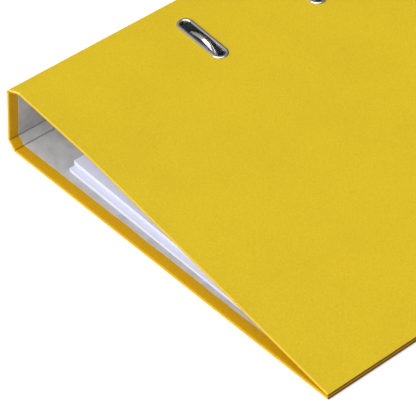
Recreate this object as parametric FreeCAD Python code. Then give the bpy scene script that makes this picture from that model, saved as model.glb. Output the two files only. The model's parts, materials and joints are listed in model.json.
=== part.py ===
import FreeCAD, Part
import math
import os

# An A4 lever arch file lying closed on its back cover, in millimetres.
# The cross-section is drawn in X (spine to fore edge) and Z (up); Y runs along the spine.
# While it is built, X = 0 is the foot of the spine and Y = 0 is the lower end of the file.
# At export everything is shifted so that the origin is the centre of the rest face, at floor level.

# Driving dimensions of the case
WIDTH = 285.0                 # spine to fore edge
HEIGHT = 320.0                # along the spine
SPINE_TOP = 48.0              # outer crease of spine and front cover, above the floor
SPINE_LEAN = 4.3              # how far that crease leans in over the papers
HINGE_STRIP = 6.3             # the strip's leg along the floor, and up the spine
COVERING = 0.3                # yellow covering sheet
BOARD = 1.3                   # grey board inside the panels
LINING = 0.3                  # lining paper, flush with the turned-in covering
TURN_IN = 7.0                 # how far the covering is folded onto the inside
CREASE_GAP = 0.2              # each panel stops this far short of the middle of a crease
PANEL = COVERING + BOARD + LINING
COVER_REST = 0.3              # gap between front and back cover at the fore edge
CORNER_SETBACK = 3.5          # the front cover is this much shorter at each end of the crease

# The front cover is straight near the spine, bends gently, then runs straight to the fore edge
BEND_X = 80.0
BEND_Z = 40.6
BEND_TANGENT = 15.0

# Lever arch mechanism
MIDDLE_Y = HEIGHT / 2
HOLE_SPACING = 80.0           # standard two-hole filing
POST_Y = [MIDDLE_Y - HOLE_SPACING / 2, MIDDLE_Y + HOLE_SPACING / 2]
POST_X = 56.0
POST_R = 2.0
POST_TENON_R = 1.5
POST_TOP = 27.0
WIRE_R = 2.0
ARCH_TOP = 44.0               # centre of the wire at the top of the arch
ARCH_PIVOT = (41.0, 5.5)
ARCH_LEG_X = 22.0
ARCH_LEG_Z = 22.0
ARCH_OUTER_BEND = 19.0
ARCH_POST_BEND = 15.0
ARCH_FOOT_BEND = 5.0
ARCH_TIP_GAP = 0.3            # between the wire's ends and the posts when closed
CRANK_R = 7.0
CRANK_ANGLE = 136.0
CRANK_HALF = 12.0             # half length of the crank's offset part
CRANK_RAMP = 4.5              # length over which the wire steps out to the crank
CRANK_BEND = 3.0
RUNNING_GAP = 0.05            # radial clearance of turning and sliding fits

PLATE_T = 1.0
PLATE_CORNER = 5.0
LOOP_R = 3.1                  # outside of the loops round the wire
LOOP_Y = 27.0                 # loops, from the middle of the plate
CHEEK_R = 2.3                 # outside of the ears and the lever's cheeks at the axle
PLATE_X = (20.0, 62.0)
PLATE_END = 14.0              # how far the plate runs past each arch
PLATE_Z = PANEL
PLATE_TOP = PLATE_Z + PLATE_T
RIVETS = [(x, MIDDLE_Y + side * 49.0) for x in (26.0, 50.0) for side in (-1, 1)]
RIVET_HEAD_R = 3.5
RIVET_HEAD = 0.5
RIVET_R = 2.0
RIVET_FIT = 0.1
RIVET_RECESS = 0.9            # depth of the recess for the heads under the back cover

LEVER_AXLE = (32.5, 14.0)
LEVER_AXLE_R = 1.25
LEVER_TIP_X = 9.0
LEVER_SHEET = 1.2
LEVER_HALF = 8.2              # half width over the cheeks
CAM_R = 2.0
CAM_ARM = 3.6
CAM_ANGLE = 16.0
EAR_GAP = 0.4

# Compressor bar
BAR_HALF = 6.5                # half width
BAR_END = 14.0                # how far it runs past each post
BAR_RIM = 3.2                 # height over its turned-up edges
BAR_GAP = 0.4                 # above the papers

# Slots in the front cover
SLOT_X = 42.5
SLOT_LENGTH = 38.5
SLOT_WIDTH = 7.0
EYELET_WALL = 1.0
EYELET_FLANGE = 2.25
EYELET_PROUD = 0.8
NECK_FIT = 0.1                # how much longer and wider the hole is than the eyelet's neck
CUT_REACH = 6.0               # cutting tools reach this far each side of a panel

# Papers: A4
SHEET_WIDTH = 210.0
SHEET_HEIGHT = 297.0
SHEET_X = 44.4
SHEET_Y = 10.5
PAPER_Z = PLATE_TOP + 0.6
LOWER_BUNDLE = 2.2
UPPER_BUNDLE = 1.5
BUNDLE_GAP = 0.05
PUNCHED_R = 3.0

# Spine fittings
FINGER_Y = 78.0
FINGER_R = 10.5               # outside of the ring's neck
FINGER_WALL = 1.2
LABEL_Y = (130.0, 300.0)
LABEL_WIDTH = 30.0

OUT = "parts"
os.makedirs(OUT, exist_ok=True)


def vec(x, y, z):
    return FreeCAD.Vector(x, y, z)


def export(shape, name):
    solid = shape.copy()
    solid.translate(vec(-WIDTH / 2, -HEIGHT / 2, 0))
    solid.exportStep(os.path.join(OUT, name + ".step"))


def prism(points, y0, y1):
    """Extrude a polygon of (x, z) points from y0 to y1."""
    corners = [vec(x, y0, z) for x, z in points]
    face = Part.Face(Part.makePolygon(corners + corners[:1]))
    return face.extrude(vec(0, y1 - y0, 0))


def box(x0, x1, y0, y1, z0, z1):
    return Part.makeBox(x1 - x0, y1 - y0, z1 - z0, vec(x0, y0, z0))


def rod(radius, x, z, y0, y1):
    """Cylinder along Y."""
    return Part.makeCylinder(radius, y1 - y0, vec(x, y0, z), vec(0, 1, 0))


def stud(radius, x, y, z0, z1):
    """Cylinder along Z."""
    return Part.makeCylinder(radius, z1 - z0, vec(x, y, z0))


def fuse(shapes):
    result = shapes[0]
    for shape in shapes[1:]:
        result = result.fuse(shape)
    return result.removeSplitter()


def unit(x, z):
    length = math.hypot(x, z)
    return x / length, z / length


class Panel:
    """A board panel: the outline of its outer face in X and Z, the side on which the inside
    of the file lies (1 or -1), and the slant and set-back of each end."""

    def __init__(self, outline, inward, start_cut, end_cut):
        self.outline = outline
        self.inward = inward
        self.start_cut = start_cut
        self.end_cut = end_cut

    def normal(self, first, second):
        x, z = unit(second[0] - first[0], second[1] - first[1])
        return -z * self.inward, x * self.inward

    def offset(self, depth):
        """The outline moved inward by depth, with its ends kept on the end cuts."""
        points = self.outline
        moved = []
        for index, (x, z) in enumerate(points):
            leg = points[:2] if index < 2 else points[-2:]
            nx, nz = self.normal(*leg)
            moved.append([x + nx * depth, z + nz * depth])
        ends = ((0, self.start_cut, points[:2], 1.0), (-1, self.end_cut, points[-2:], -1.0))
        for end, (slant, setback), (first, second), sign in ends:
            tx, tz = unit(second[0] - first[0], second[1] - first[1])
            shift = sign * (depth * slant + setback)
            moved[end][0] += tx * shift
            moved[end][1] += tz * shift
        return [tuple(point) for point in moved]

    def edges(self, depth, y):
        """Edges of the outline at one depth, and the points where they meet."""
        points = [vec(x, y, z) for x, z in self.offset(depth)]
        if len(points) == 2:
            return [Part.makeLine(points[0], points[1])], points
        nx, nz = self.normal(self.outline[2], self.outline[3])
        mx, mz = self.normal(self.outline[0], self.outline[1])
        bx, bz = unit(nx + mx, nz + mz)
        turn = math.acos(nx * mx + nz * mz)
        radius = BEND_TANGENT / math.tan(turn / 2)
        inset = radius / math.cos(turn / 2) - radius + depth
        middle = vec(BEND_X + bx * inset, y, BEND_Z + bz * inset)
        line_1 = Part.makeLine(points[0], points[1])
        bend = Part.Arc(points[1], middle, points[2]).toShape()
        line_2 = Part.makeLine(points[2], points[3])
        return [line_1, bend, line_2], points

    def layer(self, outer, inner, y0, y1):
        """A closed sheet between two depths under the outer face."""
        upper, upper_ends = self.edges(outer, y0)
        lower, lower_ends = self.edges(inner, y0)
        sides = [Part.makeLine(upper_ends[-1], lower_ends[-1]), Part.makeLine(upper_ends[0], lower_ends[0])]
        wire = Part.Wire(Part.__sortEdges__(upper + lower + sides))
        return Part.Face(wire).extrude(vec(0, y1 - y0, 0))


def crease_cut(turn_degrees):
    """Slant and set-back of a panel end at a crease whose panels meet at this inside angle."""
    half = math.radians(turn_degrees) / 2
    return 1.0 / math.tan(half), CREASE_GAP / math.sin(half)


SQUARE_CUT = (0.0, 0.0)


def direction_angle(first, second):
    return math.degrees(math.atan2(second[1] - first[1], second[0] - first[0]))


# Outer creases of the case
FORE_BOTTOM = (WIDTH, 0.0)
BACK_CREASE = (HINGE_STRIP, 0.0)
STRIP_CREASE = (0.0, HINGE_STRIP)
SPINE_CREASE = (SPINE_LEAN, SPINE_TOP)
FORE_TOP = (WIDTH, 2 * PANEL + COVER_REST)
LEAN_ANGLE = 90.0 - direction_angle(STRIP_CREASE, SPINE_CREASE)
SPINE_LENGTH = math.hypot(SPINE_LEAN, SPINE_TOP - HINGE_STRIP)


def bend_points():
    ux, uz = unit(SPINE_CREASE[0] - BEND_X, SPINE_CREASE[1] - BEND_Z)
    vx, vz = unit(FORE_TOP[0] - BEND_X, FORE_TOP[1] - BEND_Z)
    first = (BEND_X + ux * BEND_TANGENT, BEND_Z + uz * BEND_TANGENT)
    second = (BEND_X + vx * BEND_TANGENT, BEND_Z + vz * BEND_TANGENT)
    return first, second


BEND_START, BEND_END = bend_points()
COVER_SLOPE = -direction_angle(SPINE_CREASE, BEND_START)
TOP_ANGLE = 90.0 - LEAN_ANGLE + COVER_SLOPE
STRIP_ANGLE = 45.0 + direction_angle(STRIP_CREASE, SPINE_CREASE)

BACK = Panel([BACK_CREASE, FORE_BOTTOM], 1, crease_cut(135.0), SQUARE_CUT)
STRIP = Panel([BACK_CREASE, STRIP_CREASE], -1, crease_cut(135.0), crease_cut(STRIP_ANGLE))
SPINE = Panel([STRIP_CREASE, SPINE_CREASE], -1, crease_cut(STRIP_ANGLE), crease_cut(TOP_ANGLE))
FRONT = Panel([SPINE_CREASE, BEND_START, BEND_END, FORE_TOP], -1, crease_cut(TOP_ANGLE), SQUARE_CUT)


def clip(shape, tool):
    return shape.common(tool) if tool else shape


def fore_edge_block(inset):
    """Block that takes off everything within inset of the fore edge."""
    return box(WIDTH - inset, WIDTH + 10, -10, HEIGHT + 10, -10, SPINE_TOP)


def make_panel(panel, fore_edge, covering_outline=None, board_outline=None, lining_outline=None):
    """Board, covering with turned-in margins, and lining of one panel."""
    full = panel.layer(0.0, PANEL, 0.0, HEIGHT)
    core = panel.layer(COVERING, COVERING + BOARD, COVERING, HEIGHT - COVERING)
    inside = panel.layer(COVERING + BOARD, PANEL + 1.0, TURN_IN, HEIGHT - TURN_IN)
    full = clip(full, covering_outline)
    core = clip(core, board_outline)
    inside = clip(inside, lining_outline)
    if fore_edge:
        core = core.cut(fore_edge_block(COVERING))
        inside = inside.cut(fore_edge_block(TURN_IN))
    covering = full.cut(core).cut(inside)
    lining = full.common(inside)
    return core, covering, lining


def tapered_outline(inset):
    """Plan of the front cover, set back by inset from its edges, as a tall block."""
    overhang = 20.0
    rate = CORNER_SETBACK / (WIDTH - SPINE_LEAN)
    near = inset + rate * (WIDTH + overhang)
    far = inset - rate * overhang
    corners = [(-overhang, near), (WIDTH + overhang, far),
               (WIDTH + overhang, HEIGHT - far), (-overhang, HEIGHT - near)]
    points = [vec(x, y, -5) for x, y in corners]
    return Part.Face(Part.makePolygon(points + points[:1])).extrude(vec(0, 0, 70))


def cover_height(x):
    """Height of the front cover's outer face over its first straight part."""
    return SPINE_CREASE[1] - (x - SPINE_CREASE[0]) * math.tan(math.radians(COVER_SLOPE))


def on_cover(shape, y):
    """Move a shape built flat at the origin to the slot position on the front cover."""
    placed = shape.copy()
    placed.rotate(vec(0, 0, 0), vec(0, 1, 0), COVER_SLOPE)
    placed.translate(vec(SLOT_X, y, cover_height(SLOT_X)))
    return placed


def on_spine(shape):
    """Move a shape built on an upright spine (outer face at X = 0) onto the leaning spine."""
    placed = shape.copy()
    placed.rotate(vec(0, 0, HINGE_STRIP), vec(0, 1, 0), LEAN_ANGLE)
    return placed


def stadium(length, width, z0, z1):
    """Oblong block with round ends, long along X, centred on the Z axis."""
    radius = width / 2
    reach = length / 2 - radius
    corners = [(-reach, -radius), (reach, -radius), (reach, radius), (-reach, radius)]
    points = [vec(x, y, z0) for x, y in corners]
    far_end = Part.Arc(points[1], vec(length / 2, 0, z0), points[2]).toShape()
    spine_end = Part.Arc(points[3], vec(-length / 2, 0, z0), points[0]).toShape()
    sides = [Part.makeLine(points[0], points[1]), Part.makeLine(points[2], points[3])]
    wire = Part.Wire([sides[0], far_end, sides[1], spine_end])
    return Part.Face(wire).extrude(vec(0, 0, z1 - z0))


def rim_edges(shape, z):
    """Edges of a shape that lie in one horizontal plane."""
    return [e for e in shape.Edges if all(abs(v.Z - z) < 1e-6 for v in e.Vertexes)]


def upright_edges(shape, height):
    """Edges of a shape that run its full height."""
    return [edge for edge in shape.Edges if abs(edge.BoundBox.ZLength - height) < 1e-6]


def slot_eyelet(y):
    """Pressed metal ring: a rounded rim on the cover, a neck through it and a clinched rim inside."""
    clinch = 0.5
    neck = (SLOT_LENGTH + 2 * EYELET_WALL, SLOT_WIDTH + 2 * EYELET_WALL)
    rim = (SLOT_LENGTH + 2 * EYELET_FLANGE, SLOT_WIDTH + 2 * EYELET_FLANGE)
    top = stadium(*rim, 0.0, EYELET_PROUD)
    top = top.makeFillet(0.55, rim_edges(top, EYELET_PROUD))
    bottom = stadium(*rim, -PANEL - clinch, -PANEL)
    body = fuse([top, stadium(*neck, -PANEL - 0.2, 0.2), bottom])
    ring = body.cut(stadium(SLOT_LENGTH, SLOT_WIDTH, -CUT_REACH, CUT_REACH))
    inner = [e for e in rim_edges(ring, EYELET_PROUD) if e.BoundBox.YLength < SLOT_WIDTH + 0.01]
    ring = ring.makeFillet(0.5, inner)
    return on_cover(ring, y)


def slot_cutter(y):
    """Hole with round ends through the covering and the lining, a loose fit on the eyelet's neck."""
    neck = (SLOT_LENGTH + 2 * EYELET_WALL, SLOT_WIDTH + 2 * EYELET_WALL)
    return on_cover(stadium(neck[0] + NECK_FIT, neck[1] + NECK_FIT, -CUT_REACH, CUT_REACH), y)


def slotted_board(board):
    """The front cover's board, its slots squared off and the board divided at their ends:
    a strip at the crease, three bars beside the slots, and the rest out to the fore edge."""
    half_length = SLOT_LENGTH / 2 + EYELET_WALL + NECK_FIT
    half_width = SLOT_WIDTH / 2 + EYELET_WALL + NECK_FIT
    far = 2 * WIDTH
    span_y = HEIGHT

    def region(x0, x1, y0, y1):
        return on_cover(box(x0, x1, y0, y1, -far, far), MIDDLE_Y)

    slot_1, slot_2 = (y - MIDDLE_Y for y in POST_Y)
    regions = [
        region(-far, -half_length, -span_y, span_y),
        region(-half_length, half_length, -span_y, slot_1 - half_width),
        region(-half_length, half_length, slot_1 + half_width, slot_2 - half_width),
        region(-half_length, half_length, slot_2 + half_width, span_y),
        region(half_length, far, -span_y, span_y),
    ]
    return Part.makeCompound([board.common(block).Solids[0] for block in regions])


def make_case():
    """The four panels: back cover, hinge strip, spine and front cover."""
    board, covering, lining = make_panel(BACK, True)
    for x, y in RIVETS:
        shank_hole = stud(RIVET_R + RIVET_FIT, x, y, -1, CUT_REACH)
        head_recess = stud(RIVET_HEAD_R + RIVET_FIT, x, y, -1, RIVET_RECESS)
        board = board.cut(shank_hole).cut(head_recess)
        covering = covering.cut(head_recess)
        lining = lining.cut(shank_hole)
    export(board, "back_board")
    export(covering, "back_covering")
    export(lining, "back_lining")

    for name, shape in zip(("board", "covering", "lining"), make_panel(STRIP, False)):
        export(shape, "strip_" + name)

    finger_hole = spine_disc(FINGER_R + NECK_FIT, -CUT_REACH, CUT_REACH)
    for name, shape in zip(("board", "covering", "lining"), make_panel(SPINE, False)):
        export(shape.cut(on_spine(finger_hole)), "spine_" + name)

    outlines = [tapered_outline(inset) for inset in (0.0, COVERING, TURN_IN)]
    board, covering, lining = make_panel(FRONT, True, *outlines)
    for number, y in enumerate(POST_Y, 1):
        covering = covering.cut(slot_cutter(y))
        lining = lining.cut(slot_cutter(y))
        export(slot_eyelet(y), "slot_eyelet_%d" % number)
    export(slotted_board(board), "front_board")
    export(covering, "front_covering")
    export(lining, "front_lining")


def spine_middle():
    """Height of the middle of the spine, while it is drawn upright."""
    return HINGE_STRIP + SPINE_LENGTH / 2


def spine_disc(radius, x0, x1):
    """Disc across an upright spine, on the finger ring's axis."""
    return Part.makeCylinder(radius, x1 - x0, vec(x0, FINGER_Y, spine_middle()), vec(1, 0, 0))


def make_finger_ring():
    """Pressed metal ring through the spine: rounded outer lip, neck, and a flat inner lip."""
    proud = 0.8
    outer_lip = spine_disc(FINGER_R + 2.0, -proud, 0.0)
    rim = [edge for edge in outer_lip.Edges if edge.BoundBox.XMax < -proud / 2]
    outer_lip = outer_lip.makeFillet(0.6, rim)
    neck = spine_disc(FINGER_R, -0.2, PANEL + 0.2)
    inner_lip = spine_disc(FINGER_R + 1.5, PANEL, PANEL + 0.7)
    bore = spine_disc(FINGER_R - FINGER_WALL, -CUT_REACH, CUT_REACH)
    export(on_spine(fuse([outer_lip, neck, inner_lip]).cut(bore)), "finger_ring")


def make_label():
    """Clear pocket outside the spine, open at its upper end, and the blank label in it."""
    film = 0.2
    seam = 1.0
    depth = 0.5
    slack = 2.0
    z0 = spine_middle() - LABEL_WIDTH / 2
    z1 = spine_middle() + LABEL_WIDTH / 2
    y0, y1 = LABEL_Y
    label = box(-0.25, -0.05, y0 + slack, y1 - slack, z0 + slack, z1 - slack)
    space = box(film - depth, 0.0, y0 + seam, y1 + seam, z0 + seam, z1 - seam)
    pocket = box(-depth, 0.0, y0, y1, z0, z1).cut(space)
    export(on_spine(label), "spine_label")
    export(on_spine(pocket), "label_pocket")


def rounded_path(points, radii):
    """Straight runs joined by tangent arcs; radii has one value per inner point."""
    edges = []
    start = points[0]
    for before, point, after, radius in zip(points, points[1:], points[2:], radii):
        back = (before - point).normalize()
        ahead = (after - point).normalize()
        half = back.getAngle(ahead) / 2
        reach = radius / math.tan(half)
        first = point + back * reach
        last = point + ahead * reach
        bisector = (back + ahead).normalize()
        middle = point + bisector * (radius / math.sin(half) - radius)
        if (first - start).Length > 1e-4:
            edges.append(Part.makeLine(start, first))
        edges.append(Part.Arc(first, middle, last).toShape())
        start = last
    edges.append(Part.makeLine(start, points[-1]))
    return Part.Wire(edges)


def wire_solid(path, start, heading, radius):
    """Round wire along a path that leaves its start in the given direction."""
    profile = Part.Wire([Part.makeCircle(radius, start, heading)])
    return path.makePipeShell([profile], True, False)


def make_arch_wire():
    """One bent wire: arch, pivot, crank, pivot, arch."""
    px, pz = ARCH_PIVOT
    angle = math.radians(CRANK_ANGLE)
    kx = px + CRANK_R * math.cos(angle)
    kz = pz + CRANK_R * math.sin(angle)
    crank_end = MIDDLE_Y - CRANK_HALF
    half = [
        ((POST_X, POST_Y[0], POST_TOP + ARCH_TIP_GAP), None),
        ((POST_X, POST_Y[0], ARCH_TOP), ARCH_POST_BEND),
        ((ARCH_LEG_X, POST_Y[0], ARCH_TOP), ARCH_OUTER_BEND),
        ((ARCH_LEG_X, POST_Y[0], ARCH_LEG_Z), ARCH_FOOT_BEND),
        ((px, POST_Y[0], pz), ARCH_FOOT_BEND),
        ((px, crank_end - CRANK_RAMP, pz), CRANK_BEND),
        ((kx, crank_end, kz), CRANK_BEND),
    ]
    points = [vec(*place) for place, bend in half]
    radii = [bend for place, bend in half[1:]]
    mirrored = [vec(p.x, 2 * MIDDLE_Y - p.y, p.z) for p in reversed(points)]
    path = rounded_path(points + mirrored, radii + radii[::-1])
    export(wire_solid(path, points[0], vec(0, 0, 1), WIRE_R), "arch_wire")


def plate_loop(y):
    """Loop of the base plate round the arch wire."""
    px, pz = ARCH_PIVOT
    half = 2.0
    foot = box(px - LOOP_R, px + LOOP_R, y - half, y + half, PLATE_Z + 0.2, pz)
    return [foot, rod(LOOP_R, px, pz, y - half, y + half)]


def plate_ear(side):
    """Upright ear of the base plate beside one cheek of the lever, round at the axle."""
    ax, az = LEVER_AXLE
    inner = MIDDLE_Y + side * (LEVER_HALF + EAR_GAP)
    low, high = sorted((inner, inner + side * LEVER_SHEET))
    foot_z = PLATE_Z + 0.2
    back_x = 22.0
    front_x = 31.0
    outline = [(back_x, foot_z), (front_x, foot_z), (front_x, 8.0), (ax + 0.8, az - 2.15),
               (ax + 0.8, az), (ax - 0.9, az + 2.1), (ax - 2.6, az + 0.6)]
    return [prism(outline, low, high), rod(CHEEK_R, ax, az, low, high)]


def make_base_plate():
    """Steel plate with loops for the arch wire and two ears for the lever axle."""
    y0 = POST_Y[0] - PLATE_END
    y1 = POST_Y[1] + PLATE_END
    plate = box(PLATE_X[0], PLATE_X[1], y0, y1, PLATE_Z, PLATE_TOP)
    plate = plate.makeFillet(PLATE_CORNER, upright_edges(plate, PLATE_T))
    parts = [plate]
    for side in (-1, 1):
        parts += plate_loop(MIDDLE_Y + side * LOOP_Y)
        parts += plate_ear(side)
    body = fuse(parts)
    body = body.cut(rod(WIRE_R + RUNNING_GAP, *ARCH_PIVOT, POST_Y[0], POST_Y[1]))
    body = body.cut(rod(LEVER_AXLE_R, *LEVER_AXLE, 0, HEIGHT))
    holes = [(POST_X, y, POST_TENON_R) for y in POST_Y] + [(x, y, RIVET_R) for x, y in RIVETS]
    for x, y, radius in holes:
        body = body.cut(stud(radius, x, y, 0, CUT_REACH))
    export(body, "base_plate")


def make_posts_and_rivets():
    for number, y in enumerate(POST_Y, 1):
        tenon = stud(POST_TENON_R, POST_X, y, PLATE_Z, PLATE_TOP + 0.1)
        collar = stud(2.8, POST_X, y, PLATE_TOP, PLATE_TOP + 0.5)
        shaft = stud(POST_R, POST_X, y, PLATE_TOP + 0.1, POST_TOP)
        export(fuse([tenon, collar, shaft]), "post_%d" % number)
    rivets = []
    for x, y in RIVETS:
        shank = stud(RIVET_R, x, y, 0.3, PLATE_TOP + 0.2)
        outside = stud(RIVET_HEAD_R, x, y, 0.05, RIVET_RECESS - 0.1)
        inside = stud(RIVET_HEAD_R, x, y, PLATE_TOP, PLATE_TOP + RIVET_HEAD)
        rivets.append(fuse([shank, outside, inside]))
    export(Part.makeCompound(rivets), "rivets")


def make_leaf_spring():
    """Spring strip that rises under the crank."""
    z = PLATE_TOP
    half_width = 5.0
    thick = 0.5
    rise = 0.5
    x0, x1, x2 = 21.0, 28.0, 37.0
    outline = [(x0, z), (x1, z), (x2, z + rise), (x2, z + rise + thick), (x1, z + thick), (x0, z + thick)]
    export(prism(outline, MIDDLE_Y - half_width, MIDDLE_Y + half_width), "leaf_spring")


def make_lever():
    """Pressed steel channel with its axle hole, a cam pin and a rolled finger edge."""
    ax, az = LEVER_AXLE
    angle = math.radians(CAM_ANGLE)
    cx = ax + CAM_ARM * math.cos(angle)
    cz = az + CAM_ARM * math.sin(angle)
    top = az + 3.4
    finger_r = 1.5
    cheek_end = LEVER_TIP_X + 6.0
    low_y = MIDDLE_Y - LEVER_HALF
    high_y = MIDDLE_Y + LEVER_HALF
    parts = []
    for y in (low_y, high_y - LEVER_SHEET):
        side = (y, y + LEVER_SHEET)
        parts.append(prism([(cheek_end, top - 3), (ax, az - CHEEK_R), (ax, top), (cheek_end, top)], *side))
        parts.append(prism([(ax, az - CHEEK_R), (cx, cz - CAM_R), (cx, cz + CAM_R), (ax, top)], *side))
        parts.append(rod(CHEEK_R, ax, az, *side))
        parts.append(rod(CAM_R, cx, cz, *side))
    parts.append(box(LEVER_TIP_X + finger_r, ax - 2, low_y, high_y, top - LEVER_SHEET, top))
    parts.append(rod(finger_r, LEVER_TIP_X + finger_r, top - 0.3, low_y, high_y))
    body = fuse(parts).cut(rod(LEVER_AXLE_R + RUNNING_GAP, ax, az, 0, HEIGHT))
    export(body, "lever")
    export(rod(CAM_R, cx, cz, low_y + LEVER_SHEET, high_y - LEVER_SHEET), "lever_cam_pin")
    end = LEVER_HALF + EAR_GAP + LEVER_SHEET + 0.4
    export(rod(LEVER_AXLE_R, ax, az, MIDDLE_Y - end, MIDDLE_Y + end), "lever_axle")


def make_compressor():
    """Flat bar with turned-up edges that slides on the two posts."""
    thick = 1.2
    z0 = PAPER_Z + LOWER_BUNDLE + UPPER_BUNDLE + BAR_GAP
    y0 = POST_Y[0] - BAR_END
    y1 = POST_Y[1] + BAR_END
    bar = box(POST_X - BAR_HALF, POST_X + BAR_HALF, y0, y1, z0, z0 + thick)
    parts = [bar.makeFillet(4.0, upright_edges(bar, thick))]
    for x in (POST_X - BAR_HALF + 0.2, POST_X + BAR_HALF - 0.2 - thick):
        parts.append(box(x, x + thick, y0 + 6, y1 - 6, z0 + thick / 2, z0 + BAR_RIM))
    body = fuse(parts)
    for y in POST_Y:
        body = body.cut(stud(POST_R + RUNNING_GAP, POST_X, y, 0, SPINE_TOP))
    export(body, "compressor_bar")


def make_sheets():
    """Two bundles of punched A4 sheets on the posts, a little out of line."""
    bundles = [("lower_sheets", 0.0, 0.0, PAPER_Z, LOWER_BUNDLE),
               ("upper_sheets", 0.4, 0.6, PAPER_Z + LOWER_BUNDLE + BUNDLE_GAP, UPPER_BUNDLE - BUNDLE_GAP)]
    for name, dx, dy, z, thick in bundles:
        x0 = SHEET_X + dx
        y0 = SHEET_Y + dy
        bundle = box(x0, x0 + SHEET_WIDTH, y0, y0 + SHEET_HEIGHT, z, z + thick)
        for y in POST_Y:
            bundle = bundle.cut(stud(PUNCHED_R, POST_X, y, 0, POST_TOP))
        export(bundle, name)


make_case()
make_finger_ring()
make_label()
make_base_plate()
make_posts_and_rivets()
make_leaf_spring()
make_arch_wire()
make_lever()
make_compressor()
make_sheets()
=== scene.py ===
import bmesh
import bpy
import json
import math
from mathutils import Matrix, Vector, noise


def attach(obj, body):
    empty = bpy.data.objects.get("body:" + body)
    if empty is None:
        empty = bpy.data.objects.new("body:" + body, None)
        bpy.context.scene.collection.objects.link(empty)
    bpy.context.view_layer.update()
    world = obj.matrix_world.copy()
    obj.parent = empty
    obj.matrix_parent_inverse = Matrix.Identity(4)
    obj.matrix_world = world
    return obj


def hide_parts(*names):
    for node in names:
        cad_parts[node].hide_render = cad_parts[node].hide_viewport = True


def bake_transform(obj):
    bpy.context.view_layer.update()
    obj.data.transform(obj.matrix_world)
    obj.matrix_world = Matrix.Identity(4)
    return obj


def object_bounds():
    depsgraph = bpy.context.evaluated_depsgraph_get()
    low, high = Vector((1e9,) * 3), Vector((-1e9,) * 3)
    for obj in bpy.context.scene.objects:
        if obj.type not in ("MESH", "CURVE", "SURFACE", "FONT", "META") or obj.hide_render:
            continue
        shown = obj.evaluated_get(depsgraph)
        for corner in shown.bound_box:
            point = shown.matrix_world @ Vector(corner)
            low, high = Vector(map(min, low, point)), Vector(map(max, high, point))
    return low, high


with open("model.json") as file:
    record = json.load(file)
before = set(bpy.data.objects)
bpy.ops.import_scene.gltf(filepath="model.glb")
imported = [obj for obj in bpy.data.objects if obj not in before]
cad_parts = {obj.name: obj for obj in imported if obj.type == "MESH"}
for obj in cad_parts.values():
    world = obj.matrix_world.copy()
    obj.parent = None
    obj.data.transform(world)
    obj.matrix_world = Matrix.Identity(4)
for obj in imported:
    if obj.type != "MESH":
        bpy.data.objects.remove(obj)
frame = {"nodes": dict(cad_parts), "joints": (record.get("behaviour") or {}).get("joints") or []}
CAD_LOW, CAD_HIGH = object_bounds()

# An A4 lever arch file lying closed on its back cover.
# Shapes are worked out in millimetres, X from the foot of the spine to the fore edge,
# Y from the lower end of the file to the upper end, Z up; row() turns them into the frame.
MM = 0.001
JOINTS = {joint["name"]: joint for joint in frame["joints"]}
CORNER = Vector((JOINTS["spine_crease"]["pos_m"][0], CAD_LOW.y, 0.0))
WIDTH = (CAD_HIGH.x - CORNER.x) / MM
HEIGHT = (CAD_HIGH.y - CAD_LOW.y) / MM


def row(x, y, z):
    return CORNER + Vector((x, y, z)) * MM


def crease_point(joint):
    x, y, z = JOINTS[joint]["pos_m"]
    return Vector(((x - CORNER.x) / MM, z / MM))


# The case: four panels, three creases
PANEL = 1.9                   # thickness of a panel, without its raised lining
BACK_CREASE = crease_point("strip_crease")
STRIP_CREASE = crease_point("spine_crease")
SPINE_CREASE = crease_point("front_cover_crease")
FORE_BOTTOM = Vector((WIDTH, 0.0))
BEND = Vector((80.0, 40.6))   # where the front cover bends, before it is rounded
BEND_REACH = 15.0
FORE_TOP = Vector((WIDTH, 4.1))
CORNER_SETBACK = 3.5          # the front cover is this much shorter at each end of its crease
TURN_IN = 7.0                 # width of the turned-in covering
EDGE_R = 0.5                  # rounding of a panel's edges
LINING_R = 0.1                # rounding of a lining's edges
LINING_PROUD = 0.12           # how far a lining stands above its panel
LINING_SUNK = 0.15            # how far it reaches down into the panel
LINING_WAVE = 0.45            # how far a lining's cut edge wanders
LINING_WAVE_X = 19.0          # length of that wandering along X
LINING_WAVE_Z = 13.0          # and along Z
LINING_STATIONS = 90          # rings along a lining on a panel
FOLD_LINING_STATIONS = 60     # and on a fold

# The slots and the finger ring
SLOT_X = 42.5
SLOT_Y = (HEIGHT / 2 - 40.0, HEIGHT / 2 + 40.0)
SLOT_LENGTH = 38.5
SLOT_WIDTH = 7.0
SLOT_HALF = (SLOT_LENGTH - SLOT_WIDTH) / 2  # from the middle to the centre of a round end
EYELET_WALL = 1.0
FINGER_Y = 78.0
FINGER_BORE = 9.3
FINGER_WALL = 1.2

# A hole through a panel is cut from CUT_OUT to CUT_IN, measured outwards from its outer face
CUT_OUT = 4.0
CUT_IN = -6.0
CUT_CLEARANCE = 0.05          # between a ring and the hole cut for it
RIVET_X = (26.0, 50.0)
RIVET_Y = 49.0                # from mid-height of the file
RIVET_HOLE_R = 3.6
RIVET_HOLE = (-1.0, 0.9)      # cut between these heights: a round recess under the back cover
RIVET_HOLE_SIDES = 32


# ---------------------------------------------------------------- materials

def new_material(name):
    material = bpy.data.materials.new(name)
    material.use_nodes = True
    return material, material.node_tree, material.node_tree.nodes["Principled BSDF"]


def node(tree, kind, **values):
    made = tree.nodes.new(kind)
    for key, value in values.items():
        if key in made.inputs:
            made.inputs[key].default_value = value
        else:
            setattr(made, key, value)
    return made


def place(tree, size=(1.0, 1.0, 1.0)):
    """Object coordinates in millimetres, stretched by size."""
    coordinates = node(tree, "ShaderNodeTexCoord")
    mapping = node(tree, "ShaderNodeMapping")
    mapping.inputs["Scale"].default_value = [1.0 / MM / side for side in size]
    tree.links.new(coordinates.outputs["Object"], mapping.inputs["Vector"])
    return mapping.outputs["Vector"]


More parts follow.
